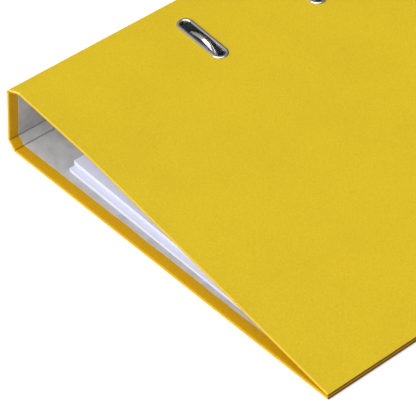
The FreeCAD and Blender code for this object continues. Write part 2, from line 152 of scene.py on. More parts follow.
def mottle(tree, where, feature, detail=3.0, roughness=0.6):
    """Noise whose blobs are about feature millimetres across."""
    texture = node(tree, "ShaderNodeTexNoise", Scale=1.0 / feature, Detail=detail, Roughness=roughness)
    tree.links.new(where, texture.inputs["Vector"])
    return texture.outputs["Fac"]


def ramp(tree, value, stops):
    """Colours along a value: stops are (position, colour)."""
    made = node(tree, "ShaderNodeValToRGB")
    elements = made.color_ramp.elements
    while len(elements) < len(stops):
        elements.new(0.5)
    for element, (position, colour) in zip(elements, stops):
        element.position = position
        element.color = (*colour, 1.0)
    tree.links.new(value, made.inputs["Fac"])
    return made.outputs["Color"]


def scale_range(tree, value, low, high, start=0.3, end=0.7):
    made = node(tree, "ShaderNodeMapRange")
    for key, number in (("From Min", start), ("From Max", end), ("To Min", low), ("To Max", high)):
        made.inputs[key].default_value = number
    tree.links.new(value, made.inputs["Value"])
    return made.outputs["Result"]


def blend_colours(tree, kind, amount, first, second):
    made = node(tree, "ShaderNodeMix", data_type="RGBA", blend_type=kind)
    inputs = (made.inputs["Factor"], made.inputs[6], made.inputs[7])
    for socket, value in zip(inputs, (amount, first, second)):
        if isinstance(value, bpy.types.NodeSocket):
            tree.links.new(value, socket)
        else:
            socket.default_value = value if isinstance(value, float) else (*value, 1.0)
    return made.outputs[2]


def bump(tree, shader, heights):
    """Chain of bumps: heights are (value, depth in mm, strength)."""
    before = None
    for value, depth, strength in heights:
        made = node(tree, "ShaderNodeBump", Strength=strength, Distance=depth * MM)
        tree.links.new(value, made.inputs["Height"])
        if before:
            tree.links.new(before, made.inputs["Normal"])
        before = made.outputs["Normal"]
    tree.links.new(before, shader.inputs["Normal"])


def make_covering():
    """Yellow covering sheet: fine leather-like mottling; paler on its rounded ends, partly wear and partly
    a painted highlight;
    painted shade and bounce light as a deeper orange where it is turned in, and painted shade as a dark
    brown line along the fore edges and on the top fold's rim."""
    material, tree, shader = new_material("yellow_covering")
    where = place(tree)
    grain = mottle(tree, where, 1.1, 4.0, 0.62)
    fine = mottle(tree, where, 0.35, 2.0, 0.5)
    cloud = mottle(tree, where, 38.0, 3.0, 0.55)
    base = ramp(tree, grain, [(0.30, (0.535, 0.378, 0.0085)), (0.70, (0.630, 0.450, 0.0135))])
    shade = ramp(tree, cloud, [(0.30, (0.95, 0.945, 0.93)), (0.70, (1.0, 1.0, 1.0))])
    body = blend_colours(tree, "MULTIPLY", 1.0, base, shade)
    speck = ramp(tree, fine, [(0.34, (0.93, 0.925, 0.90)), (0.62, (1.03, 1.03, 1.05))])
    body = blend_colours(tree, "MULTIPLY", 1.0, body, speck)
    # Partly wear, partly painted highlight: rounded ends are mixed towards a pale yellow, broken up by
    # fine noise
    wear = node(tree, "ShaderNodeAttribute", attribute_name="wear")
    patchiness = scale_range(tree, fine, 0.35, 1.0)
    share = node(tree, "ShaderNodeMath", operation="MULTIPLY")
    tree.links.new(wear.outputs["Fac"], share.inputs[0])
    tree.links.new(patchiness, share.inputs[1])
    colour = blend_colours(tree, "MIX", share.outputs[0], body, (0.74, 0.60, 0.17))
    # Painted shade and bounce light: the turned-in covering is multiplied to a deeper orange
    folded = node(tree, "ShaderNodeAttribute", attribute_name="inside")
    colour = blend_colours(tree, "MULTIPLY", folded.outputs["Fac"], colour, (1.0, 0.77, 0.04))
    # Painted shade: the fore edges and the top fold's rim are multiplied to dark brown
    dull = node(tree, "ShaderNodeAttribute", attribute_name="dull")
    colour = blend_colours(tree, "MULTIPLY", dull.outputs["Fac"], colour, (0.20, 0.12, 0.03))
    tree.links.new(colour, shader.inputs["Base Color"])
    tree.links.new(scale_range(tree, grain, 0.50, 0.64), shader.inputs["Roughness"])
    shader.inputs["Specular IOR Level"].default_value = 0.18
    bump(tree, shader, [(grain, 0.08, 0.75), (fine, 0.03, 0.7)])
    return material


def make_lining():
    """Mottled grey lining paper with a few darker clouds and short fibres."""
    material, tree, shader = new_material("grey_lining")
    where = place(tree)
    cloud = mottle(tree, where, 9.0, 5.0, 0.62)
    fibre = mottle(tree, place(tree, (3.5, 0.5, 1.0)), 0.8, 3.0, 0.6)
    base = ramp(tree, cloud, [(0.30, (0.405, 0.405, 0.415)), (0.50, (0.470, 0.472, 0.484)),
                              (0.70, (0.520, 0.522, 0.536))])
    streak = ramp(tree, fibre, [(0.32, (0.93, 0.925, 0.92)), (0.62, (1.0, 1.0, 1.0))])
    tree.links.new(blend_colours(tree, "MULTIPLY", 1.0, base, streak), shader.inputs["Base Color"])
    shader.inputs["Roughness"].default_value = 0.78
    shader.inputs["Specular IOR Level"].default_value = 0.25
    bump(tree, shader, [(fibre, 0.03, 0.4), (cloud, 0.08, 0.3)])
    return material


def make_paper(name, tint):
    """Writing paper: faint fibres and cloudiness."""
    material, tree, shader = new_material(name)
    where = place(tree)
    fibre = mottle(tree, where, 0.5, 4.0, 0.7)
    cloud = mottle(tree, where, 14.0, 2.0, 0.5)
    dark = tuple(0.955 * value for value in tint)
    base = ramp(tree, fibre, [(0.3, dark), (0.7, tint)])
    shade = ramp(tree, cloud, [(0.3, (0.975, 0.975, 0.98)), (0.7, (1.0, 1.0, 1.0))])
    tree.links.new(blend_colours(tree, "MULTIPLY", 1.0, base, shade), shader.inputs["Base Color"])
    shader.inputs["Roughness"].default_value = 0.72
    shader.inputs["Specular IOR Level"].default_value = 0.25
    bump(tree, shader, [(fibre, 0.015, 0.4)])
    return material


def make_metal(name, colour, roughness, brushed, scratch_depth):
    """Plated steel: fine directional scratches, cloudy polish and a few dull spots."""
    material, tree, shader = new_material(name)
    scratches = mottle(tree, place(tree, brushed), 0.25, 2.0, 0.5)
    cloud = mottle(tree, place(tree), 4.0, 3.0, 0.6)
    dark = tuple(0.86 * value for value in colour)
    tree.links.new(ramp(tree, cloud, [(0.3, dark), (0.65, colour)]), shader.inputs["Base Color"])
    shader.inputs["Metallic"].default_value = 1.0
    rough = scale_range(tree, scratches, roughness * 0.7, roughness * 1.4)
    tree.links.new(rough, shader.inputs["Roughness"])
    bump(tree, shader, [(scratches, scratch_depth, 0.35)])
    return material


def make_film():
    """Clear pocket film, a little hazy."""
    material, tree, shader = new_material("clear_film")
    haze = mottle(tree, place(tree), 6.0, 3.0, 0.5)
    shader.inputs["Base Color"].default_value = (0.94, 0.95, 0.95, 1.0)
    shader.inputs["Transmission Weight"].default_value = 0.92
    shader.inputs["IOR"].default_value = 1.45
    tree.links.new(scale_range(tree, haze, 0.06, 0.20), shader.inputs["Roughness"])
    bump(tree, shader, [(haze, 0.05, 0.2)])
    return material


COVERING = make_covering()
LINING = make_lining()
PAPER = make_paper("white_paper", (0.73, 0.76, 0.92))
LABEL_PAPER = make_paper("label_paper", (0.86, 0.85, 0.80))
NICKEL = make_metal("nickel", (0.68, 0.67, 0.66), 0.17, (1.0, 1.0, 6.0), 0.003)
ZINC = make_metal("zinc_plate", (0.62, 0.63, 0.65), 0.30, (1.0, 14.0, 1.0), 0.008)
SPRING = make_metal("spring_steel", (0.26, 0.28, 0.34), 0.26, (14.0, 1.0, 1.0), 0.006)
RIVET = make_metal("rivet_metal", (0.70, 0.69, 0.67), 0.22, (1.0, 1.0, 1.0), 0.006)
FILM = make_film()


# ---------------------------------------------------------------- mesh helpers

def add_mesh(name, points, faces, material, sharp=40.0, **shares):
    """A smooth-shaded closed mesh from points in millimetres, with named values per point."""
    mesh = bpy.data.meshes.new(name)
    mesh.from_pydata([row(*point) for point in points], [], faces)
    for key, values in shares.items():
        attribute = mesh.attributes.new(key, "FLOAT", "POINT")
        attribute.data.foreach_set("value", values)
    mesh.materials.append(material)
    tidy = bmesh.new()
    tidy.from_mesh(mesh)
    bmesh.ops.recalc_face_normals(tidy, faces=tidy.faces)
    tidy.to_mesh(mesh)
    tidy.free()
    finish_shading(mesh, sharp)
    piece = bpy.data.objects.new(name, mesh)
    bpy.context.scene.collection.objects.link(piece)
    return piece


def finish_shading(mesh, sharp):
    for polygon in mesh.polygons:
        polygon.use_smooth = True
    mesh.set_sharp_from_angle(angle=math.radians(sharp))


def loft(rings, closed=False, paired=False):
    """Quads between rings of points; open lofts get a cap at each end.
    The caps of a paired loft are strips of quads between its two faces."""
    count = len(rings[0])
    points = [point for ring in rings for point in ring]
    faces = []
    pairs = len(rings) if closed else len(rings) - 1
    for i in range(pairs):
        here = i * count
        there = (i + 1) % len(rings) * count
        for j in range(count):
            k = (j + 1) % count
            faces.append((here + j, here + k, there + k, there + j))
    if paired:
        last = len(points) - count
        for j in range(count // 2 - 1):
            k = count - 1 - j
            faces.append((j, j + 1, k - 1, k))
            faces.append((last + k, last + k - 1, last + j + 1, last + j))
    elif not closed:
        faces.append(tuple(range(count)))
        faces.append(tuple(range(len(points) - count, len(points)))[::-1])
    return points, faces


def give(piece, body, slot, *replaced):
    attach(piece, body)
    if replaced:
        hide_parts(*replaced)


def cut(piece, cutters, sharp=35.0):
    """Subtract closed cutters from a piece, and apply it."""
    for cutter in cutters:
        modifier = piece.modifiers.new("cut", "BOOLEAN")
        modifier.operation = "DIFFERENCE"
        modifier.solver = "EXACT"
        modifier.object = cutter
    bpy.context.view_layer.update()
    evaluated = piece.evaluated_get(bpy.context.evaluated_depsgraph_get())
    mesh = bpy.data.meshes.new_from_object(evaluated)
    piece.modifiers.clear()
    piece.data = mesh
    finish_shading(mesh, sharp)
    for cutter in cutters:
        bpy.data.objects.remove(cutter)


# ---------------------------------------------------------------- sections of the case

class Run:
    """Outer face of a panel in X and Z, by distance along it and depth into the panel.
    A run of three points is rounded at the middle one."""

    def __init__(self, points, inward, reach=0.0):
        self.points = points
        self.inward = inward
        self.first = (points[1] - points[0]).length - reach
        self.heading = (points[1] - points[0]).normalized()
        self.turn = 0.0
        self.radius = 0.0
        self.length = self.first
        if len(points) == 3:
            after = (points[2] - points[1]).normalized()
            self.turn = after.angle_signed(self.heading)
            self.radius = reach / math.tan(abs(self.turn) / 2)
            self.arc = self.radius * abs(self.turn)
            self.length = self.first + self.arc + (points[2] - points[1]).length - reach

    def at(self, distance, depth):
        base = self.points[0]
        heading = self.heading
        straight = distance
        if self.turn and distance > self.first:
            along = min(distance - self.first, self.arc)
            turned = self.turn * along / self.arc
            chord = 2 * self.radius * math.sin(abs(turned) / 2)
            base = base + heading * self.first
            base = base + rotate(heading, turned / 2) * chord
            heading = rotate(heading, turned)
            straight = distance - self.first - along
        normal = Vector((-heading.y, heading.x)) * self.inward
        return base + heading * straight + normal * depth


def rotate(direction, angle):
    return Vector((direction.x * math.cos(angle) - direction.y * math.sin(angle),
                   direction.x * math.sin(angle) + direction.y * math.cos(angle)))


BACK = Run([BACK_CREASE, FORE_BOTTOM], 1)
STRIP = Run([BACK_CREASE, STRIP_CREASE], -1)
SPINE = Run([STRIP_CREASE, SPINE_CREASE], -1)
FRONT = Run([SPINE_CREASE, BEND, FORE_TOP], -1, BEND_REACH)


FLAT_STEP = 6.0               # distance between points along a flat, about
SHORT_FLAT = 2.0              # a flat shorter than this gets no points of its own
CORNER_GAP = 0.2              # a flat's first and last points lie this far from its corners
MITRE_LIMIT = 0.5             # keeps the inset of a sharp corner from running away


def slab_outline(start, end, top, bottom, radius, turns=5):
    """Closed outline of a slab as (distance, depth) pairs, with rounded corners."""
    centres = [(start + radius, top + radius, 180), (end - radius, top + radius, 270),
               (end - radius, bottom - radius, 0), (start + radius, bottom - radius, 90)]
    outline = []
    for index, (s, d, angle) in enumerate(centres):
        for i in range(turns + 1):
            a = math.radians(angle + 90.0 * i / turns)
            outline.append((s + radius * math.cos(a), d + radius * math.sin(a)))
        s0, d0 = outline[-1]
        following = centres[(index + 1) % 4]
        a = math.radians(following[2])
        s1 = following[0] + radius * math.cos(a)
        d1 = following[1] + radius * math.sin(a)
        span = math.hypot(s1 - s0, d1 - d0)
        if span > SHORT_FLAT:
            pieces = max(1, round(span / FLAT_STEP))
            gap = CORNER_GAP / span
            shares = [gap] + [i / pieces for i in range(1, pieces)] + [1.0 - gap]
            outline += [(s0 + (s1 - s0) * f, d0 + (d1 - d0) * f) for f in shares]
    return outline


def inward_shifts(outline):
    """For each point of a closed 2D outline, the move that insets it by one unit."""
    area = sum(a.x * b.y - b.x * a.y for a, b in zip(outline, outline[1:] + outline[:1]))
    side = 1.0 if area > 0 else -1.0
    shifts = []
    befores = outline[-1:] + outline[:-1]
    afters = outline[1:] + outline[:1]
    for before, point, after in zip(befores, outline, afters):
        u = (point - before).normalized()
        v = (after - point).normalized()
        normal = Vector((-(u.y + v.y), u.x + v.x)) * side
        normal.normalize()
        square = max(MITRE_LIMIT, normal.x * -u.y * side + normal.y * u.x * side)
        shifts.append(normal / square)
    return shifts


END_TURNS = 4                 # steps round the edge of a panel's or a fold's end
END_INSET = 0.96              # share of the radius by which the end face is inset
END_GUARD = 0.15              # a ring this far past the rounding keeps its shading tight
END_RINGS = (1.6, 3.2, 5.0)   # more rings, by distance from the end
MIDDLE_FROM = 7.0             # distance from each end where the evenly spaced rings begin
END_WEAR_AND_HIGHLIGHT = 0.12                 # paleness on the rounded ends of a panel: partly wear, partly painted highlight


def stretch(name, outline, looks, near, far, material, radius=EDGE_R, stations=36, ripple=None,
            folded=False, end_wear_and_highlight=END_WEAR_AND_HIGHLIGHT, sunk=0.0):
    """Run a closed X-Z outline along Y from near(x, z) to far(x, z), with rounded ends.
    looks holds two values for each point of the outline, from 0 to 1: the first is 1 on the turned-in
    covering, which gets painted shade and bounce light as a deeper orange, and the second is 1 where an
    edge gets painted shade as dark brown. The paleness on the rounded ends, partly wear and partly a
    painted highlight, is given by its own argument.
    ripple(x, y, z, depth) may move a point; depth is the distance from the nearer end.
    The outline goes along one face of a sheet and back along the other, point for point;
    a folded sheet is rounded across its thickness only. Away from the ends, its inner
    face is sunk under the lining."""
    if folded:
        shifts = [(other - point).normalized() for point, other in zip(outline, outline[::-1])]
    else:
        shifts = inward_shifts(outline)
    angles = [math.pi / 2 * i / END_TURNS for i in range(END_TURNS + 1)]
    ends = [(radius * (1 - math.cos(a)), END_INSET * radius * (1 - math.sin(a))) for a in angles]
    ends += [(distance, 0.0) for distance in (radius + END_GUARD, *END_RINGS)]
    lines = [("near", distance, inset) for distance, inset in ends]
    lines += [("middle", i / stations, 0.0) for i in range(1, stations)]
    lines += [("far", distance, inset) for distance, inset in ends[::-1]]
    rings = []
    wear_and_highlights = []
    turned = []
    dulled = []
    for kind, measure, inset in lines:
        ring = []
        for point, shift, (inside, dull) in zip(outline, shifts, looks):
            x, z = point + shift * (inset + (sunk * inside if kind == "middle" else 0.0))
            y0 = near(x, z)
            y1 = far(x, z)
            if kind == "near":
                y = y0 + measure
            elif kind == "far":
                y = y1 - measure
            else:
                y = y0 + MIDDLE_FROM + (y1 - y0 - 2 * MIDDLE_FROM) * measure
            if ripple:
                x, y, z = ripple(x, y, z, min(y - y0, y1 - y))
            ring.append((x, y, z))
            rounded = kind != "middle" and measure <= radius
            # Paleness on the rounded ends: partly wear, partly painted highlight
            wear_and_highlights.append(end_wear_and_highlight * (1.0 - inside) if rounded else 0.0)
            turned.append(inside)
            dulled.append(dull)
        rings.append(ring)
    points, faces = loft(rings, paired=True)
    return add_mesh(name, points, faces, material, wear=wear_and_highlights, inside=turned, dull=dulled)


PLAIN = (0.0, 0.0)            # looks of a point with no painted shade: not turned in, not on a shaded edge


def square_end(x, z):
    """Y of the lower end of the back cover, hinge strip and spine."""
    return 0.0


def cover_end(x, z):
    """Y of the front cover's lower end: set back at the crease, flush at the fore edge."""
    share = (WIDTH - x) / (WIDTH - SPINE_CREASE.x)
    return CORNER_SETBACK * min(1.0, share)


def opposite(end):
    return lambda x, z: HEIGHT - end(x, z)


def lining_end(end, seed):
    """The cut edge of a lining, a little uneven, inside the turned-in covering."""
    def place_edge(x, z):
        wander = noise.noise(Vector((x / LINING_WAVE_X, z / LINING_WAVE_Z, seed)))
        return end(x, z) + TURN_IN + LINING_WAVE * wander
    return place_edge


# Distance from each crease where the stiff panels begin
STRIP_ZONE = 3.1
TOP_ZONE = 4.4

TURN_IN_SHADE_FROM = 0.35            # depth where the covering starts to take the painted shade of the turned-in part
TURN_IN_SHADE_OVER = 0.9             # depth over which that painted shade grows to its full strength
SHADED_EDGE_WIDTH = 0.16              # width of the painted shade along a fore edge
FOLD_SEED = 2.0               # seed of the linings' cut edges on the folds
FAR_SEED = 5.0                # added to a lining's seed at its far end


def panel_looks(s, d, end, fore_edge):
    inside = max(0.0, min(1.0, (d - TURN_IN_SHADE_FROM) / TURN_IN_SHADE_OVER))
    # Painted shade: a dark brown line along a fore edge
    dull = 1.0 if fore_edge and s > end - SHADED_EDGE_WIDTH else 0.0
    return inside, dull


def lining_ends(end, seed):
    return lining_end(end, seed), opposite(lining_end(end, seed + FAR_SEED))


def make_panel(name, run, start, end, near, body, seed, fore_edge=False):
    """Covering over board as one rounded slab, and the lining sheet on its inside."""
    profile = slab_outline(start, end, 0.0, PANEL, EDGE_R)
    outline = [run.at(s, d) for s, d in profile]
    looks = [panel_looks(s, d, end, fore_edge) for s, d in profile]
    panel = stretch("panel_" + name, outline, looks, near, opposite(near), COVERING)
    lining_stop = end - TURN_IN if fore_edge else end
    bottom = PANEL + LINING_PROUD
    profile = slab_outline(start, lining_stop, PANEL - LINING_SUNK, bottom, LINING_R, turns=2)
    outline = [run.at(s, d) for s, d in profile]
    lining = stretch("lining_" + name, outline, [PLAIN] * len(outline), *lining_ends(near, seed),
                     LINING, LINING_R, LINING_STATIONS)
    give(panel, body, "yellow_covering", name + "_covering", name + "_board")
    give(lining, body, "grey_lining", name + "_lining")
    return panel, lining


# ---------------------------------------------------------------- creases

FOLD_PROUD = 0.03             # a fold's outer face stands this far past the panels
PROUD_END = 0.03              # and its ends this far
FOLD_OVERLAP = 0.02           # its inner face lies this far past the panels' inner faces
FOLD_SUNK = 0.45              # away from the ends it is sunk this far under the lining
FOLD_LINING = 0.3             # thickness of the lining across a fold
FOLD_LINING_PROUD = 0.03      # it stands this far past the panels' linings
TIP = 0.4                     # length over which a fold's thin edge dips into the panel
TIP_DIP = 0.12                # depth of that dip
FLAT = (0.04, 0.5, 0.96, 1.0)  # shares of a fold's flat part where it has points
LIP = 0.5                     # flat left between the inner corner and the groove in it
GROOVE = 0.95                 # how far the groove reaches out from the inner corner
FOLD_STEPS = 10               # steps round a fold
TUCK = 7.5                    # length over which the top fold draws back to the front cover
RIM_SHADE = 0.55               # strength of the painted shade on the rim of the top fold
RIM_POINTS = range(5, 10)     # the spine's half of that rim, counted along the outer face


class Crease:
    """The soft fold between two panels: corner point and the two runs that leave it."""

    def __init__(self, corner, first, second, reach, bend, zone):
        self.corner = corner
        self.first = first
        self.second = second
        self.reach = reach
        self.bend = bend
        self.zone = zone
        self.half = first.angle(second) / 2
        self.middle = (first + second).normalized()

    def on(self, leg, distance, depth):
        """Point on one leg, at a distance from the corner and a depth into the panel."""
        normal = self.middle - leg * self.middle.dot(leg)
        return self.corner + leg * distance + normal.normalized() * depth

    def flat_points(self, leg, start, reach, depth):
        """Points along the flat part of one leg, from its start to where the tip begins."""
        return [self.on(leg, start + (reach - TIP - start) * f, depth) for f in FLAT]

    def outer(self, proud):
        """Outer face: along the first leg, round the fold, along the second."""
        tangent = self.bend / math.tan(self.half)
        centre = self.corner + self.middle * (self.bend / math.sin(self.half))
        start = self.on(self.first, tangent, 0.0) - centre
        end = self.on(self.second, tangent, 0.0) - centre
        turn = end.angle_signed(start) / FOLD_STEPS
        swell = 1 + proud / self.bend
        first, second = self.reach
        points = [self.on(self.first, first, TIP_DIP)]
        points += self.flat_points(self.first, tangent, first, -proud)[::-1]
        points += [centre + rotate(start, turn * i) * swell for i in range(FOLD_STEPS + 1)]
        points += self.flat_points(self.second, tangent, second, -proud)
        return points + [self.on(self.second, second, TIP_DIP)]

    def inner(self, depth, dip):
        """Inner face from the second leg back to the first, with a groove between the boards."""
        inside = depth / math.tan(self.half)
        lip = inside + LIP
        a = self.on(self.second, lip, depth)
        b = self.on(self.first, lip, depth)
        bottom = self.corner + self.middle * (depth / math.sin(self.half) - GROOVE)
        pull = bottom * 2 - (a + b) / 2
        first, second = self.reach
        points = [self.on(self.second, second, depth - dip)]
        points += self.flat_points(self.second, lip, second, depth)[::-1]
        for i in range(FOLD_STEPS + 1):
            t = i / FOLD_STEPS
            points.append(a * (1 - t) ** 2 + pull * (2 * t * (1 - t)) + b * t ** 2)
        points += self.flat_points(self.first, lip, first, depth)
        return points + [self.on(self.first, first, depth - dip)]

    def zone_ends(self):
        """Where the stiff parts begin, on the outer face of each leg."""
        return self.corner + self.first * self.zone, self.corner + self.second * self.zone

    def blend(self, piece, first_body, second_body):
        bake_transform(piece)

    def share(self, x, z):
        """How far a point belongs to the second leg, from 0 to 1."""
        start, end = self.zone_ends()
        across = end - start
        return smooth((Vector((x, z)) - start).dot(across) / across.length_squared)


def smooth(value):
    """0 below 0, 1 above 1, and a soft step between them."""
    t = max(0.0, min(1.0, value))
    return t * t * (3 - 2 * t)


def direction(first, second):
    return (second - first).normalized()


ALONG_BACK = direction(BACK_CREASE, FORE_BOTTOM)
ALONG_STRIP = direction(BACK_CREASE, STRIP_CREASE)
ALONG_SPINE = direction(STRIP_CREASE, SPINE_CREASE)
ALONG_FRONT = direction(SPINE_CREASE, BEND)
CREASES = {
    "back": Crease(BACK_CREASE, ALONG_BACK, ALONG_STRIP, reach=(8.0, 4.2), bend=2.2, zone=2.2),
    "strip": Crease(STRIP_CREASE, -ALONG_STRIP, ALONG_SPINE, reach=(4.2, 8.0), bend=2.2, zone=2.2),
    "top": Crease(SPINE_CREASE, -ALONG_SPINE, ALONG_FRONT, reach=(8.0, 8.0), bend=2.4, zone=2.4),
}
CREASE_BODIES = {"back": ("back_cover", "hinge_strip"), "strip": ("hinge_strip", "spine"),
                 "top": ("spine", "front_cover")}


def top_end(x, z):
    """Y of the top crease's lower end: it draws back from the spine to the front cover."""
    crease = CREASES["top"]
    offset = Vector((x, z)) - crease.corner
    reach = offset.dot(crease.second) - max(0.0, offset.dot(crease.first) - PANEL)
    return cover_end(x, z) * smooth(reach / TUCK) - PROUD_END


def flush_end(x, z):
    return -PROUD_END


def top_lining_end(x, z):
    """Y of the case's lower end across the top crease, from which its lining is set in."""
    return cover_end(x, z) * CREASES["top"].share(x, z)


WRINKLE_REACH = 7.5           # how far the wrinkles run along each leg of the top crease
WRINKLE_GAIN = 3.0            # how fast they grow from the ends of that reach
WRINKLE_DEPTH = 4.0           # how far they run in from the end of the file
WRINKLE_X = 0.40              # how far they move a point, along each axis
WRINKLE_Y = 0.45
WRINKLE_Z = 0.50


def crumple(x, y, z, depth):
    """Small wrinkles in the covering folded in at the ends of the top crease."""
    crease = CREASES["top"]
    offset = Vector((x, z)) - crease.corner
    out = max(offset.dot(crease.first), offset.dot(crease.second))
    near_tip = max(0.0, 1.0 - out / WRINKLE_REACH)
    fade = max(0.0, 1.0 - depth / WRINKLE_DEPTH) ** 1.5 * min(1.0, near_tip * WRINKLE_GAIN)
    across = noise.noise(Vector((x / 1.1, z / 1.1, y / 2.4)))
    along = noise.noise(Vector((x / 1.5 + 7.0, z / 1.5, y / 2.0)))
    return x + WRINKLE_X * fade * across, y + WRINKLE_Y * fade * along, z + WRINKLE_Z * fade * across


def make_fold(name, near, end_wear_and_highlight, rim=(), ripple=None):
    """The covering across one crease; the points counted in rim get painted shade."""
    crease = CREASES[name]
    outer = crease.outer(FOLD_PROUD)
    inner = crease.inner(PANEL + FOLD_OVERLAP, TIP_DIP)
    looks = [(0.0, RIM_SHADE if i in rim else 0.0) for i in range(len(outer))]
    # The inner face is turned-in covering and gets the painted shade of a deeper orange
    looks += [(1.0, 0.0)] * len(inner)
    fold = stretch("fold_" + name, outer + inner, looks, near, opposite(near), COVERING,
                   ripple=ripple, folded=True, end_wear_and_highlight=end_wear_and_highlight, sunk=FOLD_SUNK)
    crease.blend(fold, *CREASE_BODIES[name])


def make_fold_lining(name, near):
    """The lining across one crease."""
    crease = CREASES[name]
    depth = PANEL + LINING_PROUD + FOLD_LINING_PROUD
    outline = crease.inner(depth - FOLD_LINING, 0.0)[::-1] + crease.inner(depth, TIP_DIP)
    ends = lining_ends(near, FOLD_SEED)
    lining = stretch("fold_lining_" + name, outline, [PLAIN] * len(outline), *ends,
                     LINING, LINING_R, FOLD_LINING_STATIONS, folded=True)
    crease.blend(lining, *CREASE_BODIES[name])


def make_creases():
    for name in ("back", "strip"):
        make_fold(name, flush_end, end_wear_and_highlight=0.5)
        make_fold_lining(name, square_end)
    make_fold("top", top_end, end_wear_and_highlight=1.0, rim=RIM_POINTS, ripple=crumple)
    make_fold_lining("top", top_lining_end)


# ---------------------------------------------------------------- slots and rings

def on_cover(along, across, up, slot_y):
    """A point given about a slot's middle, on the front cover."""
    distance = (SLOT_X - SPINE_CREASE.x) / FRONT.heading.x + along
    x, z = FRONT.at(distance, -up)
    return x, slot_y + across, z


def on_spine(along, across, out):
    """A point given about the middle of the spine: up the spine, along Y, and outwards."""
    x, z = SPINE.at(SPINE.length / 2 + along, -out)
    return x, across, z


def oblong(half, radius, turns=24, straights=8):
    """Oblong path that goes round once: (along, across, and the same of the outward normal)."""
    path = []
    for sign in (1.0, -1.0):
        for i in range(turns + 1):
            a = math.pi * i / turns - math.pi / 2
            path.append((sign * (half + radius * math.cos(a)), sign * radius * math.sin(a),
                         sign * math.cos(a), sign * math.sin(a)))
        if half:
            for i in range(1, straights):
                path.append((sign * half * (1 - 2 * i / straights), sign * radius, 0.0, sign))
        else:
            path.pop()
    return path


def pressed_ring(name, half, radius, profile, placed, body, replaced):
    """Metal rim swept round an oblong: profile is (outward, up) pairs from the bore's wall."""
    rings = []
    for u, v, nu, nv in oblong(half, radius):
        rings.append([placed(u + nu * out, v + nv * out, up) for out, up in profile])
    points, faces = loft(rings, closed=True)
    piece = add_mesh(name, points, faces, NICKEL, sharp=50.0)
    give(piece, body, "nickel", replaced)


RIM_TURNS = 14                # steps over the rolled rim
RIM_LIFT = 0.1                # the rim's edges stand this far off the panel
RIM_CROWN = 0.75              # below 1, the rim's crown is flatter than a half ellipse
RIM_GAP = 0.01                # between the metal and the panel's faces


def rim_profile(wall, flange, crown, lip, clinch):
    """Section of a pressed eyelet: bore wall, rolled rim, neck through the panel, inner flange.
    The rim is flange wide and crown high; the inner flange is lip narrower and clinch thick."""
    profile = [(0.0, -PANEL - clinch * 0.6), (0.0, -PANEL * 0.5), (0.0, 0.0)]
    for i in range(RIM_TURNS + 1):
        a = math.pi * (1 - i / RIM_TURNS)
        rise = (crown - RIM_LIFT) * math.sin(a) ** RIM_CROWN
        profile.append((flange / 2 * (1 + math.cos(a)), RIM_LIFT + rise))
    edge = flange - lip
    profile += [(flange - 0.1, RIM_GAP), (wall, RIM_GAP), (wall, -PANEL), (edge, -PANEL - RIM_GAP)]
    profile += [(edge + 0.1, -PANEL - clinch * 0.5), (edge - 0.2, -PANEL - clinch)]
    profile += [(0.5, -PANEL - clinch), (0.15, -PANEL - clinch * 0.9)]
    return profile


def make_cutter(rings):
    return add_mesh("cutter", *loft(rings), COVERING)


def slot_cutter(slot_y):
    path = oblong(SLOT_HALF, SLOT_WIDTH / 2 + EYELET_WALL + CUT_CLEARANCE)
    return make_cutter([[on_cover(u, v, up, slot_y) for u, v, nu, nv in path]
                        for up in (CUT_OUT, CUT_IN)])


def finger_cutter():
    path = oblong(0.0, FINGER_BORE + FINGER_WALL + CUT_CLEARANCE)
    return make_cutter([[on_spine(u, FINGER_Y + v, out) for u, v, nu, nv in path]
                        for out in (CUT_OUT, CUT_IN)])


def rivet_cutter(x, y):
    angles = [2 * math.pi * i / RIVET_HOLE_SIDES for i in range(RIVET_HOLE_SIDES)]
    ring = [(x + RIVET_HOLE_R * math.cos(a), y + RIVET_HOLE_R * math.sin(a)) for a in angles]
    return make_cutter([[(u, v, z) for u, v in ring] for z in RIVET_HOLE])


def make_case():
    strip_end = STRIP.length - STRIP_ZONE
    spine_end = SPINE.length - TOP_ZONE
    back_panel = make_panel("back", BACK, STRIP_ZONE, BACK.length, square_end, "back_cover", 1.0,
                            fore_edge=True)[0]
    cut(back_panel, [rivet_cutter(x, HEIGHT / 2 + side * RIVET_Y) for x in RIVET_X for side in (-1, 1)])
    make_panel("strip", STRIP, STRIP_ZONE, strip_end, square_end, "hinge_strip", 2.0)
    for piece in make_panel("spine", SPINE, STRIP_ZONE, spine_end, square_end, "spine", 3.0):
        cut(piece, [finger_cutter()])
    for piece in make_panel("front", FRONT, TOP_ZONE, FRONT.length, cover_end, "front_cover", 4.0,
                            fore_edge=True):
        cut(piece, [slot_cutter(y) for y in SLOT_Y])
    make_creases()


def make_rings():
    profile = rim_profile(EYELET_WALL, flange=2.25, crown=0.85, lip=0.05, clinch=0.45)
    for number, y in enumerate(SLOT_Y, 1):
        pressed_ring("slot_ring_%d" % number, SLOT_HALF, SLOT_WIDTH / 2, profile,
                     lambda u, v, up, y=y: on_cover(u, v, up, y), "front_cover", "slot_eyelet_%d" % number)
    profile = rim_profile(FINGER_WALL, flange=3.2, crown=0.8, lip=0.5, clinch=0.65)
    pressed_ring("finger_ring_rolled", 0.0, FINGER_BORE, profile,
                 lambda u, v, up: on_spine(u, FINGER_Y + v, up), "spine", "finger_ring")


# ---------------------------------------------------------------- papers

